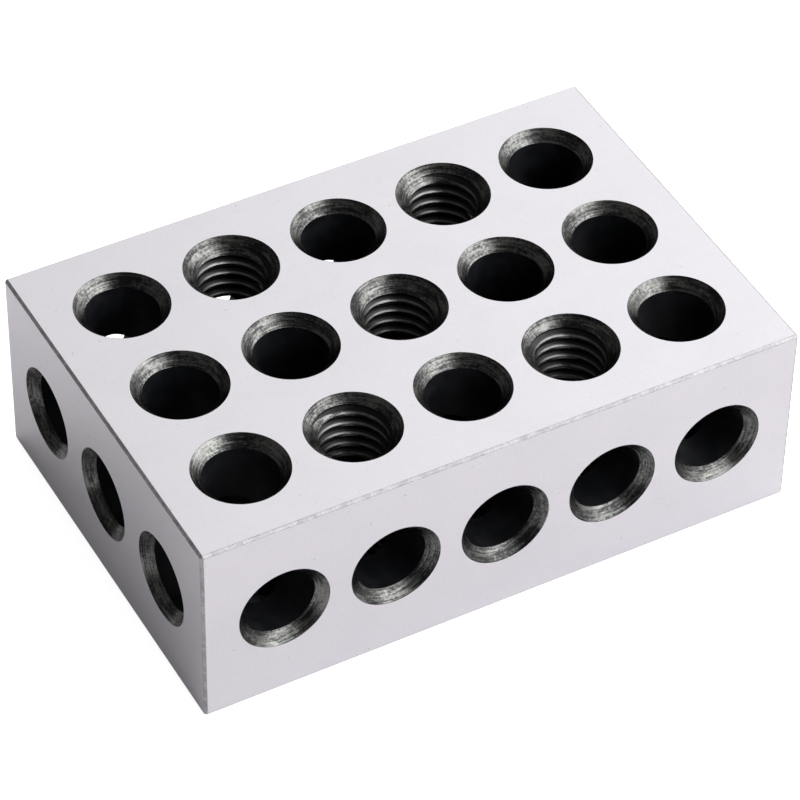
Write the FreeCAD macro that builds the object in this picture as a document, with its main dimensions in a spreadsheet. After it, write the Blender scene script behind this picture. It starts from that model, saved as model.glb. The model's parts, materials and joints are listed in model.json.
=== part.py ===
# Machinist's setup block in 1-2-3 proportions: one ground and hardened steel block, drilled
# through in all three directions. Millimetres, +Z up, origin under the middle of the lower face.
#
# The block is built round its own centre, so that the three origin planes are its planes of
# symmetry, and the body is then lifted by half its height. The columns run along X and the
# rows along Y. Every side hole runs along a row or a column and so meets the face holes in
# one lattice of crossings at mid height.
import FreeCAD, Part
import os

import Sketcher

V = FreeCAD.Vector

doc = FreeCAD.newDocument("setup_block")

# ---------------------------------------------------------------- driving dimensions
sheet = doc.addObject("Spreadsheet::Sheet", "Dims")
sizes = [
    ("length", 76.2, "long side, along X"),
    ("width", 50.8, "middle side, along Y"),
    ("height", 25.4, "short side, along Z"),
    ("edge_break", 0.3, "leg of the 45 degree chamfer on every outer edge"),
    ("column_pitch", 14.0, "spacing of the hole columns along X"),
    ("row_pitch", 15.0, "spacing of the hole rows along Y"),
    ("bore_dia", 8.73, "plain clearance holes"),
    ("thread_major", 9.525, "major diameter of the tapped holes"),
    ("thread_pitch", 1.5875, "pitch of the tapped holes, 16 to the inch"),
    ("mouth_dia", 11.25, "outer diameter of the countersink at every hole mouth"),
    ("mouth_angle", 90.0, "full angle of the countersinks"),
]
for row, (alias, value, note) in enumerate(sizes, start=1):
    sheet.set("A%d" % row, note)
    sheet.set("B%d" % row, str(value))
    sheet.setAlias("B%d" % row, alias)
doc.recompute()


def origin_plane(body, role):
    for feature in body.Origin.OriginFeatures:
        if feature.Role == role:
            return feature
    raise RuntimeError("no origin plane " + role)


def flat_sketch(body, name, role, height=None):
    """A sketch on one of the body's own origin planes, lifted along the plane's normal."""
    sketch = body.newObject("Sketcher::SketchObject", name)
    sketch.AttachmentSupport = [(origin_plane(body, role), "")]
    sketch.MapMode = "FlatFace"
    if height:
        sketch.setExpression("AttachmentOffset.Base.z", height)
    return sketch


def bind(sketch, index, name, formula):
    """Name a sketch dimension and tie it to the sheet."""
    sketch.renameConstraint(index, name)
    sketch.setExpression("Constraints." + name, formula)


def hole_sketch(body, name, role, height, places, dia):
    """Circles of one diameter. Each place is (u, u formula, v, v formula); None is on the axis."""
    sketch = flat_sketch(body, name, role, height)
    first = None
    for number, (u, u_formula, v, v_formula) in enumerate(places):
        circle = sketch.addGeometry(Part.Circle(V(u, v, 0), V(0, 0, 1), 4.0), False)
        if first is None:
            first = circle
            index = sketch.addConstraint(Sketcher.Constraint("Diameter", circle, 8.0))
            bind(sketch, index, "dia", dia)
        else:
            sketch.addConstraint(Sketcher.Constraint("Equal", first, circle))
        # a centre off an axis is dimensioned from it, a centre on it is held to it
        for kind, axis, value, formula in (("DistanceX", -2, u, u_formula), ("DistanceY", -1, v, v_formula)):
            if formula is None:
                sketch.addConstraint(Sketcher.Constraint("PointOnObject", circle, 3, axis))
                continue
            if value > 0:
                rule = Sketcher.Constraint(kind, -1, 1, circle, 3, value)
            else:
                rule = Sketcher.Constraint(kind, circle, 3, -1, 1, -value)
            index = sketch.addConstraint(rule)
            bind(sketch, index, "%s%d" % (kind[-1].lower(), number), formula)
    return sketch


def drill(body, name, sketch, dia, mirror_role):
    """Countersunk through holes, and the same countersinks on the opposite face."""
    doc.recompute()
    before = body.Shape.Volume
    hole = body.newObject("PartDesign::Hole", name)
    hole.Profile = sketch
    doc.recompute()
    hole.Threaded = False
    hole.DepthType = "ThroughAll"
    hole.DrillPoint = "Flat"
    hole.setExpression("Diameter", dia)
    hole.HoleCutType = "Countersink"
    hole.setExpression("HoleCutDiameter", "Dims.mouth_dia")
    hole.setExpression("HoleCutCountersinkAngle", "Dims.mouth_angle")
    doc.recompute()
    one_side = body.Shape.Volume
    if not one_side < before - 1.0:
        raise RuntimeError(name + " cuts nothing")
    sketch.Visibility = False
    mirror = body.newObject("PartDesign::Mirrored", name + "_far_side")
    mirror.Originals = [hole]
    mirror.MirrorPlane = (origin_plane(body, mirror_role), [""])
    body.Tip = mirror
    doc.recompute()
    if not body.Shape.Volume < one_side - 1.0:
        raise RuntimeError(name + " has no far side countersinks")


# ---------------------------------------------------------------- the block
body = doc.addObject("PartDesign::Body", "block")
body.Label = "block"

outline = flat_sketch(body, "block_outline", "XY_Plane")
corners = [V(-38, -25, 0), V(38, -25, 0), V(38, 25, 0), V(-38, 25, 0)]
for number in range(4):
    outline.addGeometry(Part.LineSegment(corners[number], corners[(number + 1) % 4]), False)
for number in range(4):
    outline.addConstraint(Sketcher.Constraint("Coincident", number, 2, (number + 1) % 4, 1))
outline.addConstraint(Sketcher.Constraint("Horizontal", 0))
outline.addConstraint(Sketcher.Constraint("Horizontal", 2))
outline.addConstraint(Sketcher.Constraint("Vertical", 1))
outline.addConstraint(Sketcher.Constraint("Vertical", 3))
outline.addConstraint(Sketcher.Constraint("Symmetric", 0, 1, 2, 1, -1, 1))
bind(outline, outline.addConstraint(Sketcher.Constraint("DistanceX", 0, 1, 0, 2, 76.0)), "long_side", "Dims.length")
bind(outline, outline.addConstraint(Sketcher.Constraint("DistanceY", 1, 1, 1, 2, 50.0)), "middle_side", "Dims.width")

pad = body.newObject("PartDesign::Pad", "block_pad")
pad.Profile = outline
pad.Midplane = True
pad.setExpression("Length", "Dims.height")
doc.recompute()
outline.Visibility = False

chamfer = body.newObject("PartDesign::Chamfer", "edge_breaks")
chamfer.Base = (pad, ["Edge%d" % (n + 1) for n in range(len(pad.Shape.Edges))])
chamfer.setExpression("Size", "Dims.edge_break")
doc.recompute()

# ---------------------------------------------------------------- holes through the large faces
px = sheet.column_pitch
py = sheet.row_pitch
col1 = "Dims.column_pitch"
col2 = "2 * Dims.column_pitch"
row1 = "Dims.row_pitch"

tapped_places = [(0, None, 0, None)]
plain_places = []
for sx in (-1, 1):
    plain_places.append((sx * px, col1, 0, None))
    plain_places.append((2 * sx * px, col2, 0, None))
    for sy in (-1, 1):
        tapped_places.append((sx * px, col1, sy * py, row1))
        plain_places.append((2 * sx * px, col2, sy * py, row1))
for sy in (-1, 1):
    plain_places.append((0, None, sy * py, row1))

# a tapped hole is drawn at its tapping drill, major diameter less one pitch
tap_drill = "Dims.thread_major - Dims.thread_pitch"
face_up = "Dims.height / 2"
plain = hole_sketch(body, "plain_layout", "XY_Plane", face_up, plain_places, "Dims.bore_dia")
drill(body, "plain_face_holes", plain, "Dims.bore_dia", "XY_Plane")
tapped = hole_sketch(body, "tapped_layout", "XY_Plane", face_up, tapped_places, tap_drill)
drill(body, "tapped_face_holes", tapped, tap_drill, "XY_Plane")

# ---------------------------------------------------------------- cross holes on the same lattice
# sketches on XZ have u along X and v along Z, and those on YZ have u along Y and v along Z
long_places = [(0, None, 0, None)]
for sx in (-1, 1):
    long_places.append((sx * px, col1, 0, None))
    long_places.append((2 * sx * px, col2, 0, None))
end_places = [(0, None, 0, None), (-py, row1, 0, None), (py, row1, 0, None)]

long_side = hole_sketch(body, "long_side_layout", "XZ_Plane", "Dims.width / 2", long_places, "Dims.bore_dia")
drill(body, "long_side_holes", long_side, "Dims.bore_dia", "XZ_Plane")
end_side = hole_sketch(body, "end_layout", "YZ_Plane", "Dims.length / 2", end_places, "Dims.bore_dia")
drill(body, "end_holes", end_side, "Dims.bore_dia", "YZ_Plane")

# the block stands on z = 0
body.setExpression("Placement.Base.z", "Dims.height / 2")
doc.recompute()

# ---------------------------------------------------------------- checks and export
for obj in doc.Objects:
    for flag in ("Invalid", "Error"):
        if flag in obj.State:
            raise RuntimeError("%s is %s" % (obj.Name, flag))

shape = body.Shape
if shape.isNull() or not shape.isValid() or len(shape.Solids) != 1:
    raise RuntimeError("the block is not one valid solid")

os.makedirs("parts", exist_ok=True)
shape.exportStep(os.path.join("parts", body.Label + ".step"))
box = shape.BoundBox
print("block: %.3f x %.3f x %.3f mm, z from %.3f" % (box.XLength, box.YLength, box.ZLength, box.ZMin))
print("volume %.3f mm3, %d faces, %d edges" % (shape.Volume, len(shape.Faces), len(shape.Edges)))
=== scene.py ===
# Machinist's setup block: a ground steel block with 23 countersunk through holes.
#
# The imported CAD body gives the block's size and where every hole is. One detailed mesh
# stands for it here: chamfered and slightly softened edges, 18 plain bores, five tapped
# holes with real helical threads, and countersinks with softened rims.
import json
import math

import bmesh
import bpy
import numpy as np
from mathutils import Matrix, Quaternion, Vector


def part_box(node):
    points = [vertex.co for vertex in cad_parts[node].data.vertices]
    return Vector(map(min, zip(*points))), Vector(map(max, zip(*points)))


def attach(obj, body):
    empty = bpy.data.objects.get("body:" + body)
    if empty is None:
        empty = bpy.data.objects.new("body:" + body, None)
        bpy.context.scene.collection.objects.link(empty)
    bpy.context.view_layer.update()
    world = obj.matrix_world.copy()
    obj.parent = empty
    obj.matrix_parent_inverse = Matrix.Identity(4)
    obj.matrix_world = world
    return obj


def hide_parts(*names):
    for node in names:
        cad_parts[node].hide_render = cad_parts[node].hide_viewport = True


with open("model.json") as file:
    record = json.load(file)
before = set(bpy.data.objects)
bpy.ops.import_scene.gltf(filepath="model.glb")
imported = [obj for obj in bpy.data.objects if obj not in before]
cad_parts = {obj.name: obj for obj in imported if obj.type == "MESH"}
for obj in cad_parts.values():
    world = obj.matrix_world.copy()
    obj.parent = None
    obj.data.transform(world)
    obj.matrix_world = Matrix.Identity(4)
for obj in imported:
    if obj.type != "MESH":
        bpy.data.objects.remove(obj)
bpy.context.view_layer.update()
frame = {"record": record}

MM = 0.001

# ---------------------------------------------------------------- shape of the block
BLOCK_LOW, BLOCK_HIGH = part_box("block")
EDGE_BREAK = 0.3 * MM           # leg of the 45 degree chamfer on all twelve edges
EDGE_SOFTNESS = 0.05 * MM       # rounding left by deburring along both sides of a chamfer
RIM_SOFTNESS = 0.10 * MM        # rounding radius where a countersink meets a face
THROAT_SOFTNESS = 0.10 * MM     # rounding radius where a countersink meets its bore
CORNER_STEPS = 2                # facets across a softened corner
FLAT_NORMAL = 0.9999            # a face that points this nearly along an axis is a ground one
BORE_STEPS = 96                 # facets round a bore
SIDE_PHASE, FACE_PHASE = 0.25, 0.75     # how far those facets are turned, in facets
CUT_PAST = 0.10 * MM            # how far a bore's cutter stands out of the block

# 3/8-16 thread, right-hand
THREAD_PITCH = 1.5875 * MM
THREAD_MAJOR = 9.525 * MM / 2       # a radius
THREAD_LEAN = math.radians(30)      # how far each flank leans from square to the axis
THREAD_STEPS = 72                   # steps round one turn
THREAD_CREST_SOFTNESS = 0.11 * MM   # the crests are rubbed round
THREAD_ROOT_START = 0.97            # share of a flank's depth where its root's rounding starts
THREAD_ROOT_SOFTNESS = 0.03 * MM    # how far that rounding reaches along the root
THREAD_CORE_GAP = 0.3 * MM          # how far the core's cutter stays inside the crests
THREAD_RUN_OUT = 1.2 * MM           # added past each face when a thread's turns are counted
THREAD_START_STEP = 0.13            # share of a turn from one hole's start to the next one's

# kinds of face, by the tool that left them; they are also the mesh's material slots
KINDS = range(5)
GROUND, CHAMFER, SINK, BORE, THREAD = KINDS

FAR_END_SHIFT = 40.0            # mm added to the depth beyond the middle of a hole, so that the
                                # two ends of a hole don't look alike
SHARP_EDGE = math.radians(30)   # an edge that turns by more is left sharp


def new_object(name, mesh):
    made = bpy.data.objects.new(name, mesh)
    bpy.context.scene.collection.objects.link(made)
    return made


def cutter_mesh(points, faces, kinds):
    """A closed mesh with outward normals, each face marked with its kind."""
    mesh = bpy.data.meshes.new("cutter")
    mesh.from_pydata([tuple(p) for p in points], [], faces)
    mesh.polygons.foreach_set("material_index", kinds)
    work = bmesh.new()
    work.from_mesh(mesh)
    bmesh.ops.recalc_face_normals(work, faces=work.faces)
    work.to_mesh(mesh)
    work.free()
    return mesh


def block_mesh():
    """The block with chamfered edges, and a slight rounding beside each chamfer."""
    work = bmesh.new()
    bmesh.ops.create_cube(work, size=1.0)
    centre = (BLOCK_LOW + BLOCK_HIGH) / 2
    size = BLOCK_HIGH - BLOCK_LOW
    for v in work.verts:
        v.co = Vector([centre[i] + v.co[i] * size[i] for i in range(3)])
    for offset, segments in ((EDGE_BREAK, 1), (EDGE_SOFTNESS, CORNER_STEPS)):
        bmesh.ops.bevel(work, geom=list(work.edges), offset=offset, offset_type="OFFSET",
                        segments=segments, profile=0.5, affect="EDGES")
    bmesh.ops.recalc_face_normals(work, faces=work.faces)
    for f in work.faces:
        f.material_index = GROUND if max(map(abs, f.normal)) > FLAT_NORMAL else CHAMFER
    mesh = bpy.data.meshes.new("block_blank")
    work.to_mesh(mesh)
    work.free()
    return mesh


def read_holes():
    """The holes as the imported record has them: axis, bore radius and countersink size."""
    size = BLOCK_HIGH - BLOCK_LOW
    holes = []
    for mount in frame["record"]["mounts"]:
        if mount["kind"] not in ("bore", "threaded_hole"):
            continue
        axis = Vector(mount["axis"])
        span = sum(abs(axis[i]) * size[i] for i in range(3))
        radius = mount["dims"]["r_mm"] * MM
        sink = (span - mount["dims"]["length_mm"] * MM) / 2
        holes.append({
            "centre": Vector(mount["pos_m"]),
            "axis": axis,
            "half": span / 2,
            "radius": radius,
            "mouth": radius + sink,
            "tapped": mount["kind"] == "threaded_hole",
        })
    return holes


def soft_corner(before, corner, after, radius):
    """Points of an arc that rounds one corner of a profile, given as (radius, height)."""
    a, c, b = Vector(before), Vector(corner), Vector(after)
    u, w = (a - c).normalized(), (b - c).normalized()
    half = math.acos(max(-1.0, min(1.0, u.dot(w)))) / 2
    leg = radius / math.tan(half)
    middle = c + (u + w).normalized() * (radius / math.sin(half))
    start, end = c + u * leg - middle, c + w * leg - middle
    turn = math.pi - 2 * half
    points = []
    for i in range(CORNER_STEPS + 1):
        t = i / CORNER_STEPS
        p = (start * math.sin((1 - t) * turn) + end * math.sin(t * turn)) / math.sin(turn)
        points.append(tuple(middle + p))
    return points


def half_profile(hole):
    """(radius, height) along a countersink, from the end of the bore up past the mouth."""
    top = hole["half"]
    mouth = hole["mouth"]
    throat = hole["radius"]
    cone = (throat, top - (mouth - throat))
    rim = (mouth, top)
    if hole["tapped"]:
        # the cone runs on inside the thread, which is wider and is cut separately
        points = [(throat - THREAD_CORE_GAP, cone[1] - THREAD_CORE_GAP)]
    else:
        points = soft_corner((throat, 0.0), cone, rim, THROAT_SOFTNESS)
    along_face = (2 * mouth, top)
    arc = soft_corner(cone, rim, along_face, RIM_SOFTNESS)
    points += arc[:-1]
    # leave the block along the last facet of the rim's rounding
    (r0, h0), (r1, h1) = arc[-2], arc[-1]
    slope = (r1 - r0) / (h1 - h0)
    points.append((r0 + slope * (top + CUT_PAST - h0), top + CUT_PAST))
    return points


def bore_cutter(hole, phase):
    """A turned shape that cuts the bore and the countersinks at both its ends."""
    upper = half_profile(hole)
    rows = [(r, -h) for r, h in reversed(upper)] + upper
    sink_bands = [SINK] * (len(upper) - 1)
    bands = sink_bands + [THREAD if hole["tapped"] else BORE] + sink_bands
    points, faces, kinds = [], [], []
    for r, h in rows:
        for i in range(BORE_STEPS):
            a = 2 * math.pi * (i + phase) / BORE_STEPS
            points.append((r * math.cos(a), r * math.sin(a), h))
    for k, kind in enumerate(bands):
        base, above = k * BORE_STEPS, (k + 1) * BORE_STEPS
        for i in range(BORE_STEPS):
            j = (i + 1) % BORE_STEPS
            faces.append((base + i, base + j, above + j, above + i))
            kinds.append(kind)
    last = (len(rows) - 1) * BORE_STEPS
    faces.append(tuple(range(BORE_STEPS)))
    faces.append(tuple(last + i for i in range(BORE_STEPS)))
    kinds += [SINK, SINK]
    return points, faces, kinds


def thread_profile(minor):
    """(height, radius) over one pitch: crest flat, flank, root flat, flank."""
    depth = THREAD_MAJOR - minor
    run = depth * math.tan(THREAD_LEAN)
    root = THREAD_PITCH / 8
    crest = THREAD_PITCH - root - 2 * run
    soft = THREAD_CREST_SOFTNESS
    side = soft * math.sin(THREAD_LEAN)
    rise = soft * math.cos(THREAD_LEAN)
    near_root = minor + depth * THREAD_ROOT_START
    return [
        (-crest / 2 + soft, minor),
        (crest / 2 - soft, minor),
        (crest / 2 + side, minor + rise),
        (crest / 2 + run * THREAD_ROOT_START, near_root),
        (crest / 2 + run + THREAD_ROOT_SOFTNESS, THREAD_MAJOR),
        (crest / 2 + run + root - THREAD_ROOT_SOFTNESS, THREAD_MAJOR),
        (crest / 2 + run * (2 - THREAD_ROOT_START) + root, near_root),
        (THREAD_PITCH - crest / 2 - side, minor + rise),
    ]


def thread_cutter(hole, start):
    """A right-hand helical thread, from below the lower face to above the upper one."""
    profile = thread_profile(hole["radius"])
    per_turn = len(profile)
    reach = hole["half"] + THREAD_RUN_OUT
    turns = math.ceil(2 * reach / THREAD_PITCH) + 1
    low = -turns * THREAD_PITCH / 2
    rows = turns * per_turn + 1
    points, faces = [], []

    def at(i, k):
        return i * rows + k

    for i in range(THREAD_STEPS):
        share = i / THREAD_STEPS
        a = 2 * math.pi * (share + start)
        for k in range(rows):
            height, radius = profile[k % per_turn]
            z = low + (k // per_turn + share) * THREAD_PITCH + height
            points.append((radius * math.cos(a), radius * math.sin(a), z))
    for i in range(THREAD_STEPS - 1):
        for k in range(rows - 1):
            faces.append((at(i, k), at(i + 1, k), at(i + 1, k + 1), at(i, k + 1)))
    last = THREAD_STEPS - 1
    for k in range(rows - 1 - per_turn):
        faces.append((at(last, k), at(0, k + per_turn), at(0, k + 1 + per_turn), at(last, k + 1)))
    # the two ends stand outside the block, so a fan to the axis closes each
    bottom = [at(i, 0) for i in range(THREAD_STEPS)] + [at(0, k) for k in range(per_turn, 0, -1)]
    top = [at(0, rows - 1)] + [at(i, rows - 1) for i in range(1, THREAD_STEPS)]
    top += [at(last, k) for k in range(rows - 2, rows - 2 - per_turn, -1)]
    for ring, z in ((bottom, low), (top, low + (turns + 0.5) * THREAD_PITCH)):
        hub = len(points)
        points.append((0.0, 0.0, z))
        for n in range(len(ring)):
            faces.append((ring[n], ring[(n + 1) % len(ring)], hub))
    return points, faces, [THREAD] * len(faces)


def cut_block(holes):
    """Subtracts every hole from the block and returns the finished mesh."""
    block = new_object("blank", block_mesh())
    cutters = []
    for n, hole in enumerate(holes):
        turn = hole["axis"].to_track_quat("Z", "Y").to_matrix().to_4x4()
        place = Matrix.Translation(hole["centre"]) @ turn
        upright = abs(hole["axis"].z) > 0.5
        shapes = [bore_cutter(hole, FACE_PHASE if upright else SIDE_PHASE)]
        if hole["tapped"]:
            shapes.append(thread_cutter(hole, THREAD_START_STEP * n))
        for shape in shapes:
            mesh = cutter_mesh(*shape)
            mesh.transform(place)
            marks = mesh.attributes.new("hole", "INT", "FACE")
            marks.data.foreach_set("value", [n + 1] * len(mesh.polygons))
            cutters.append(new_object("cutter", mesh))
    for _ in KINDS:
        block.data.materials.append(None)
        for cutter in cutters:
            cutter.data.materials.append(None)
    for cutter in cutters:
        step = block.modifiers.new("cut", "BOOLEAN")
        step.operation = "DIFFERENCE"
        step.solver = "MANIFOLD"
        step.material_mode = "INDEX"
        step.object = cutter
    graph = bpy.context.evaluated_depsgraph_get()
    cut = bpy.data.meshes.new_from_object(block.evaluated_get(graph))
    for spare in cutters + [block]:
        bpy.data.objects.remove(spare)
    return cut


def polar_places(mesh, holes):
    """Gives each corner in a hole its direction round the axis and its depth below the mouth,
    as hole_place, and how far it lies outside the bore, as outside_bore, both in mm."""
    corners = np.zeros(len(mesh.loops), int)
    mesh.loops.foreach_get("vertex_index", corners)
    points = np.zeros(len(mesh.vertices) * 3)
    mesh.vertices.foreach_get("co", points)
    points = points.reshape(-1, 3)[corners]
    owner = np.zeros(len(mesh.polygons), int)
    mesh.attributes["hole"].data.foreach_get("value", owner)
    totals = np.zeros(len(mesh.polygons), int)
    mesh.polygons.foreach_get("loop_total", totals)
    owner = np.repeat(owner, totals)
    places = np.zeros((len(corners), 3))
    outside = np.zeros(len(corners))
    for n, hole in enumerate(holes):
        mine = owner == n + 1
        axis = np.array(hole["axis"])
        out = points[mine] - np.array(hole["centre"])
        along = out @ axis
        flat = out - along[:, None] * axis
        reach = np.linalg.norm(flat, axis=1)
        outside[mine] = (reach - hole["radius"]) / MM
        flat /= reach[:, None] + 1e-12
        side = np.array([1.0, 0.0, 0.0]) if abs(axis[0]) < 0.5 else np.array([0.0, 1.0, 0.0])
        places[mine, 0] = flat @ side
        places[mine, 1] = flat @ np.cross(axis, side)
        places[mine, 2] = (hole["half"] - np.abs(along)) / MM + FAR_END_SHIFT * (along < 0)
    made = mesh.attributes.new("hole_place", "FLOAT_VECTOR", "CORNER")
    made.data.foreach_set("vector", places.astype(np.float32).ravel())
    made = mesh.attributes.new("outside_bore", "FLOAT", "CORNER")
    made.data.foreach_set("value", outside.astype(np.float32))


def finish_surface(piece):
    """Smooth shading that keeps flat faces flat and sharp edges sharp."""
    piece.data.shade_smooth()
    piece.data.set_sharp_from_angle(angle=SHARP_EDGE)
    weigh = piece.modifiers.new("weigh", "WEIGHTED_NORMAL")
    weigh.mode = "FACE_AREA"
    weigh.weight = 100
    weigh.keep_sharp = True


# ---------------------------------------------------------------- materials
class Nodes:
    """Builds one procedural material, a node at a time."""

    # a Mix node has a pair of inputs and an output for each type of data
    MIX_SOCKETS = {"VECTOR": (4, 5, 1), "RGBA": (6, 7, 2)}

    def __init__(self, name):
        self.material = bpy.data.materials.new(name)
        self.material.use_nodes = True
        self.tree = self.material.node_tree
        self.shader = self.tree.nodes["Principled BSDF"]

    def add(self, kind, inputs=None, **settings):
        node = self.tree.nodes.new(kind)
        for key, value in settings.items():
            setattr(node, key, value)
        for key, value in (inputs or {}).items():
            self.put(node.inputs[key], value)
        return node

    def put(self, socket, value):
        if isinstance(value, bpy.types.NodeSocket):
            self.tree.links.new(value, socket)
        else:
            socket.default_value = value

    def set(self, **inputs):
        for key, value in inputs.items():
            self.put(self.shader.inputs[key.replace("_", " ")], value)

    def maths(self, operation, a, b=0.0):
        node = self.add("ShaderNodeMath", operation=operation)
        self.put(node.inputs[0], a)
        self.put(node.inputs[1], b)
        return node.outputs[0]

    def weighted(self, *terms):
        """The sum of values, given as (value, weight) pairs."""
        parts = [self.maths("MULTIPLY", value, weight) for value, weight in terms]
        total = parts[0]
        for part in parts[1:]:
            total = self.maths("ADD", total, part)
        return total

    def vector(self, operation, a, b):
        node = self.add("ShaderNodeVectorMath", operation=operation)
        self.put(node.inputs[0], a)
        self.put(node.inputs["Scale" if operation == "SCALE" else 1], b)
        return node.outputs["Vector"]

    def noise(self, vector, scale, detail, rough, w=None):
        node = self.add("ShaderNodeTexNoise", noise_dimensions="3D" if w is None else "4D")
        self.put(node.inputs["Vector"], vector)
        self.put(node.inputs["Scale"], scale)
        self.put(node.inputs["Detail"], detail)
        self.put(node.inputs["Roughness"], rough)
        if w is not None:
            self.put(node.inputs["W"], w)
        return node.outputs["Fac"]

    def span(self, value, source, target=(0.0, 1.0)):
        """Maps the range source smoothly to the range target, and holds it at the ends."""
        node = self.add("ShaderNodeMapRange", interpolation_type="SMOOTHSTEP")
        keys = ("Value", "From Min", "From Max", "To Min", "To Max")
        for key, number in zip(keys, (value, *source, *target)):
            self.put(node.inputs[key], number)
        return node.outputs[0]

    def blend(self, share, a, b, data_type="RGBA"):
        node = self.add("ShaderNodeMix", data_type=data_type)
        first, second, result = self.MIX_SOCKETS[data_type]
        self.put(node.inputs[0], share)
        self.put(node.inputs[first], a)
        self.put(node.inputs[second], b)
        return node.outputs[result]

    def bump(self, height, distance, strength, below=None):
        node = self.add("ShaderNodeBump")
        self.put(node.inputs["Height"], height)
        self.put(node.inputs["Distance"], distance)
        self.put(node.inputs["Strength"], strength)
        if below is not None:
            self.put(node.inputs["Normal"], below)
        return node.outputs["Normal"]

    def in_mm(self):
        """The point on the object, in millimetres."""
        return self.vector("SCALE", self.add("ShaderNodeTexCoord").outputs["Object"], 1 / MM)

    def attribute(self, name, output):
        return self.add("ShaderNodeAttribute", attribute_name=name).outputs[output]


STEEL = (0.72, 0.705, 0.735, 1.0)
STEEL_SHADE = (0.66, 0.645, 0.68, 1.0)
EDGE_DULL = (0.32, 0.31, 0.325, 1.0)
EDGE_WORN = (0.52, 0.51, 0.53, 1.0)
SCALE = (0.024, 0.0245, 0.025, 1.0)
TURNED = (0.175, 0.178, 0.168, 1.0)
BORE_BLACK = (0.0045, 0.0050, 0.0070, 1.0)
BORE_WORN = (0.0100, 0.0105, 0.0125, 1.0)
THREAD_BLACK = (0.020, 0.0205, 0.021, 1.0)
THREAD_BARE = (0.20, 0.20, 0.195, 1.0)

ALONG_LINES, ACROSS_LINES = 0.05, 9.0   # scale of the grinding lines, per mm
MOST_NOISE = (0.3, 0.7)                 # the range that holds most of a noise's values
CREST_FADE = (0.04, 0.28)               # mm outside the bore, from rubbed crest to black flank


def ground_steel():
    """Surface-ground faces: long fine grinding lines, faint stains, grain and tiny pits."""
    n = Nodes("ground_steel")
    place = n.in_mm()
    normal = n.add("ShaderNodeNewGeometry").outputs["Normal"]
    split = n.add("ShaderNodeSeparateXYZ", {"Vector": normal})
    on_end = n.maths("GREATER_THAN", n.maths("ABSOLUTE", split.outputs["X"]), 0.5)
    along_x = n.vector("MULTIPLY", place, (ALONG_LINES, ACROSS_LINES, ACROSS_LINES))
    along_y = n.vector("MULTIPLY", place, (ACROSS_LINES, ALONG_LINES, ACROSS_LINES))
    lines_at = n.blend(on_end, along_x, along_y, "VECTOR")
    lines = n.noise(lines_at, scale=1.0, detail=2.0, rough=0.6)
    stains = n.noise(place, scale=0.12, detail=3.0, rough=0.55)
    cloud = n.noise(place, scale=0.9, detail=3.0, rough=0.6)
    grain = n.noise(place, scale=2.6, detail=3.0, rough=0.7)
    pits = n.noise(place, scale=1.9, detail=2.0, rough=0.5)
    stained = n.span(stains, (0.35, 0.75), (0.0, 0.3))
    shade = n.maths("ADD", stained, n.span(grain, MOST_NOISE, (-0.12, 0.30)))
    colour = n.blend(shade, STEEL, STEEL_SHADE)
    pitted = n.span(pits, (0.735, 0.775), (0.0, 0.55))
    n.set(Base_Color=n.blend(pitted, colour, EDGE_DULL), Metallic=1.0)
    clouded = n.span(cloud, MOST_NOISE, (-0.015, 0.015))
    n.set(Roughness=n.maths("ADD", clouded, n.span(lines, MOST_NOISE, (0.36, 0.40))))
    n.set(Normal=n.bump(lines, 0.004 * MM, strength=0.3))
    return n.material


def chamfer_steel():
    """Edges: duller ground metal, nicked and worn bright here and there."""
    n = Nodes("edge_steel")
    place = n.in_mm()
    wear = n.noise(place, scale=0.8, detail=3.0, rough=0.6)
    nicks = n.noise(place, scale=4.5, detail=3.0, rough=0.7)
    worn = n.weighted((wear, 0.4), (nicks, 0.6))
    n.set(Base_Color=n.blend(n.span(worn, (0.38, 0.62)), EDGE_DULL, EDGE_WORN), Metallic=1.0)
    n.set(Roughness=n.span(nicks, MOST_NOISE, (0.56, 0.66)))
    n.set(Normal=n.bump(nicks, 0.02 * MM, strength=0.5))
    return n.material


def hole_seed(n, step):
    """A noise seed that differs from hole to hole by step."""
    return n.maths("MULTIPLY", n.attribute("hole", "Fac"), step)


def hole_noise(n, seed, scale_round, scale_down, detail, rough):
    """Noise in a hole, with one scale round it and another down it."""
    scales = (scale_round, scale_round, scale_down)
    place = n.vector("MULTIPLY", n.attribute("hole_place", "Vector"), scales)
    return n.noise(place, 1.0, detail, rough, seed)


def turned_steel():
    """Countersinks: turned rings and crisp arcs of bare metal under dark heat scale."""
    n = Nodes("countersink_steel")
    seed = hole_seed(n, 3.7)
    patches = hole_noise(n, seed, 1.7, 1.1, detail=2.0, rough=0.5)
    arcs = hole_noise(n, seed, 1.6, 7.0, detail=3.0, rough=0.65)
    specks = hole_noise(n, seed, 16.0, 4.5, detail=2.0, rough=0.6)
    rings = hole_noise(n, seed, 0.25, 5.0, detail=2.0, rough=0.5)
    bare = n.weighted((patches, 0.30), (arcs, 0.42), (specks, 0.28))
    n.set(Base_Color=n.blend(n.span(bare, (0.42, 0.62)), SCALE, TURNED), Metallic=1.0)
    n.set(Roughness=n.span(arcs, MOST_NOISE, (0.21, 0.30)))
    speckled = n.bump(specks, 0.01 * MM, strength=0.4)
    n.set(Normal=n.bump(rings, 0.04 * MM, strength=0.45, below=speckled))
    return n.material


def bore_scale():
    """Bore walls: black heat scale."""
    n = Nodes("bore_scale")
    patches = hole_noise(n, hole_seed(n, 5.3), 2.0, 0.5, detail=4.0, rough=0.6)
    n.set(Base_Color=n.blend(n.span(patches, (0.4, 0.7)), BORE_BLACK, BORE_WORN))
    n.set(Specular_IOR_Level=0.2, Roughness=n.span(patches, MOST_NOISE, (0.5, 0.7)))
    n.set(Normal=n.bump(patches, 0.03 * MM, strength=0.4))
    return n.material


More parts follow.
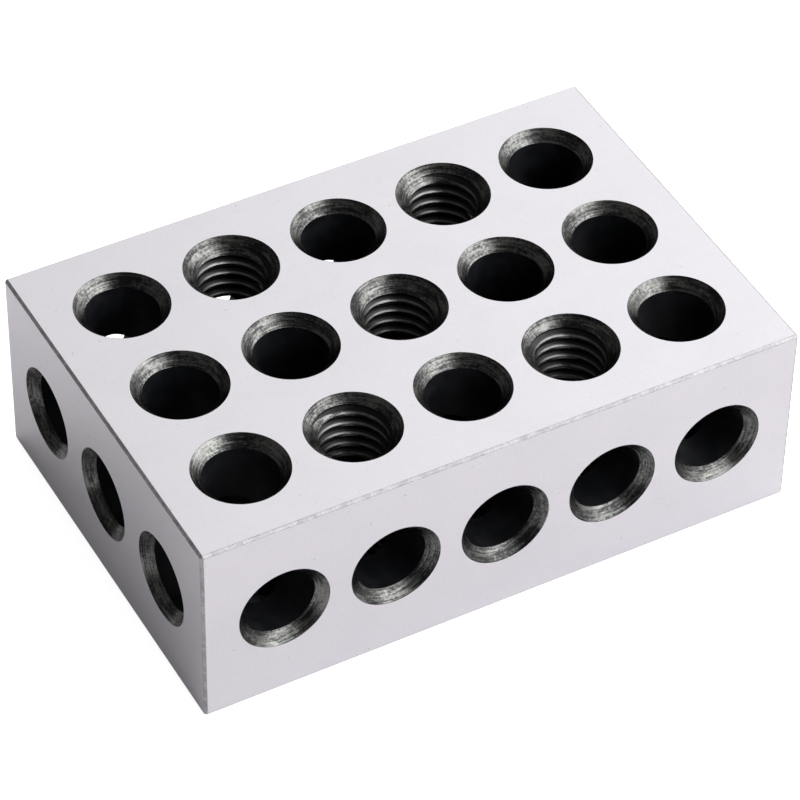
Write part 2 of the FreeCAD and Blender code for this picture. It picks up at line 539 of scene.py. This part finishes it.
def thread_steel():
    """Threads: crests rubbed bright, flanks and roots black with scale."""
    n = Nodes("thread_steel")
    patches = hole_noise(n, hole_seed(n, 2.9), 2.4, 2.0, detail=3.0, rough=0.6)
    on_crest = n.span(n.attribute("outside_bore", "Fac"), CREST_FADE, (1.0, 0.0))
    rubbed = n.maths("MULTIPLY", on_crest, n.span(patches, (0.32, 0.62), (0.35, 1.0)))
    n.set(Base_Color=n.blend(rubbed, THREAD_BLACK, THREAD_BARE), Metallic=1.0)
    n.set(Roughness=n.span(patches, MOST_NOISE, (0.26, 0.38)))
    return n.material


holes = read_holes()
mesh = cut_block(holes)
polar_places(mesh, holes)
block = new_object("setup_block", mesh)
looks = (ground_steel(), chamfer_steel(), turned_steel(), bore_scale(), thread_steel())
for kind, look in enumerate(looks):
    mesh.materials[kind] = look
finish_surface(block)
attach(block, "root")
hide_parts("block")

# ---------------------------------------------------------------- studio
FLOOR_SIZE = 6.0
FLOOR_GAP = 0.02 * MM           # between the floor and the block's lower face
FLOOR_COLOUR = (0.87, 0.855, 0.87, 1.0)
FLOOR_SEEN = 0.85               # strength of the white that is added for the camera's rays
FLOOR_MIRRORED = 0.04           # and for the rays of gloss and glass, which show the floor
                                # nearly as it is lit
WORLD_COLOUR = (1.0, 0.995, 1.0, 1.0)
WORLD_SIDE = (0.93, 0.08, 0.36)             # towards the room's bright side
WORLD_RAMP = (0.25, 0.70, 0.16, 1.46)       # where along it the ramp runs, and its strengths

# angles in degrees, and lengths in metres apart from the lens and sensor, in millimetres
LAMP_AZIMUTH, LAMP_ELEVATION, LAMP_DISTANCE = 46.0, 36.0, 0.70
LAMP_WIDTH, LAMP_HEIGHT = 1.50, 0.33
LAMP_RADIANCE = 3.8
CAMERA_AZIMUTH, CAMERA_ELEVATION, CAMERA_ROLL = -29.251, 43.642, 1.077
CAMERA_DISTANCE = 480.19 * MM
CAMERA_TARGET = Vector((-0.843, -2.02, 12.7)) * MM
CAMERA_LENS, CAMERA_SENSOR = 185.77, 36.0
CAMERA_CLIP = (0.01, 50.0)


def aim(thing, azimuth, elevation, distance, target=Vector(), roll=0.0):
    """Puts a lamp or camera at a distance from its target and turns it to face it, with angles
    in degrees. Azimuth 0 looks along +Y, and a positive one stands to the right of that."""
    azimuth, elevation = math.radians(azimuth), math.radians(elevation)
    back = Vector((math.sin(azimuth) * math.cos(elevation),
                   -math.cos(azimuth) * math.cos(elevation), math.sin(elevation)))
    thing.location = target + back * distance
    thing.rotation_mode = "QUATERNION"
    tilt = Quaternion((0, 0, 1), math.radians(roll))
    thing.rotation_quaternion = (-back).to_track_quat("-Z", "Y") @ tilt


def studio_floor():
    """A white floor, to which light is added for the camera, but not where the block stands."""
    work = bmesh.new()
    bmesh.ops.create_grid(work, x_segments=1, y_segments=1, size=FLOOR_SIZE / 2)
    mesh = bpy.data.meshes.new("floor")
    work.to_mesh(mesh)
    work.free()
    floor = new_object("floor", mesh)
    floor.location.z = BLOCK_LOW.z - FLOOR_GAP
    n = Nodes("floor_white")
    path = n.add("ShaderNodeLightPath")
    spot = n.add("ShaderNodeSeparateXYZ", {"Vector": n.add("ShaderNodeTexCoord").outputs["Object"]})
    inset = 2 * EDGE_BREAK      # the floor is covered out to just inside the chamfers
    across = n.maths("DIVIDE", n.maths("ABSOLUTE", spot.outputs["X"]), BLOCK_HIGH.x - inset)
    deep = n.maths("DIVIDE", n.maths("ABSOLUTE", spot.outputs["Y"]), BLOCK_HIGH.y - inset)
    uncovered = n.maths("GREATER_THAN", n.maths("MAXIMUM", across, deep), 1.0)
    diffuse = n.add("ShaderNodeBsdfDiffuse", {"Color": FLOOR_COLOUR})
    white = n.add("ShaderNodeEmission", {"Color": (1.0, 1.0, 1.0, 1.0)})
    mirrored = n.maths("MAXIMUM", path.outputs["Is Glossy Ray"], path.outputs["Is Transmission Ray"])
    glow = n.maths("ADD", n.maths("MULTIPLY", path.outputs["Is Camera Ray"], FLOOR_SEEN),
                   n.maths("MULTIPLY", mirrored, FLOOR_MIRRORED))
    n.put(white.inputs["Strength"], n.maths("MULTIPLY", glow, uncovered))
    both = n.add("ShaderNodeAddShader")
    n.put(both.inputs[0], diffuse.outputs[0])
    n.put(both.inputs[1], white.outputs[0])
    out = n.tree.nodes["Material Output"]
    n.put(out.inputs["Surface"], both.outputs[0])
    n.tree.nodes.remove(n.shader)
    floor.data.materials.append(n.material)


def studio_world():
    """The room's own soft light: bright on the right, less so overhead and dim on the left."""
    world = bpy.data.worlds.new("studio")
    bpy.context.scene.world = world
    world.use_nodes = True
    tree = world.node_tree
    back = tree.nodes["Background"]
    place = tree.nodes.new("ShaderNodeTexCoord")
    side = tree.nodes.new("ShaderNodeVectorMath")
    side.operation = "DOT_PRODUCT"
    side.inputs[1].default_value = WORLD_SIDE
    tree.links.new(place.outputs["Generated"], side.inputs[0])
    ramp = tree.nodes.new("ShaderNodeMapRange")
    tree.links.new(side.outputs["Value"], ramp.inputs["Value"])
    for key, number in zip(("From Min", "From Max", "To Min", "To Max"), WORLD_RAMP):
        ramp.inputs[key].default_value = number
    tree.links.new(ramp.outputs[0], back.inputs["Strength"])
    back.inputs["Color"].default_value = WORLD_COLOUR


def studio_lamp():
    """One wide softbox at the front right, above the block."""
    data = bpy.data.lights.new("softbox", "AREA")
    data.shape = "RECTANGLE"
    data.size, data.size_y = LAMP_WIDTH, LAMP_HEIGHT
    data.energy = LAMP_RADIANCE * math.pi * LAMP_WIDTH * LAMP_HEIGHT
    aim(new_object("softbox", data), LAMP_AZIMUTH, LAMP_ELEVATION, LAMP_DISTANCE)


def studio_camera():
    """A long lens from the front left, about 44 degrees up."""
    data = bpy.data.cameras.new("camera")
    data.sensor_width = CAMERA_SENSOR
    data.lens = CAMERA_LENS
    data.clip_start, data.clip_end = CAMERA_CLIP
    camera = new_object("camera", data)
    aim(camera, CAMERA_AZIMUTH, CAMERA_ELEVATION, CAMERA_DISTANCE, CAMERA_TARGET, CAMERA_ROLL)
    bpy.context.scene.camera = camera


studio_floor()
studio_world()
studio_lamp()
studio_camera()
bpy.context.scene.view_settings.view_transform = "Standard"
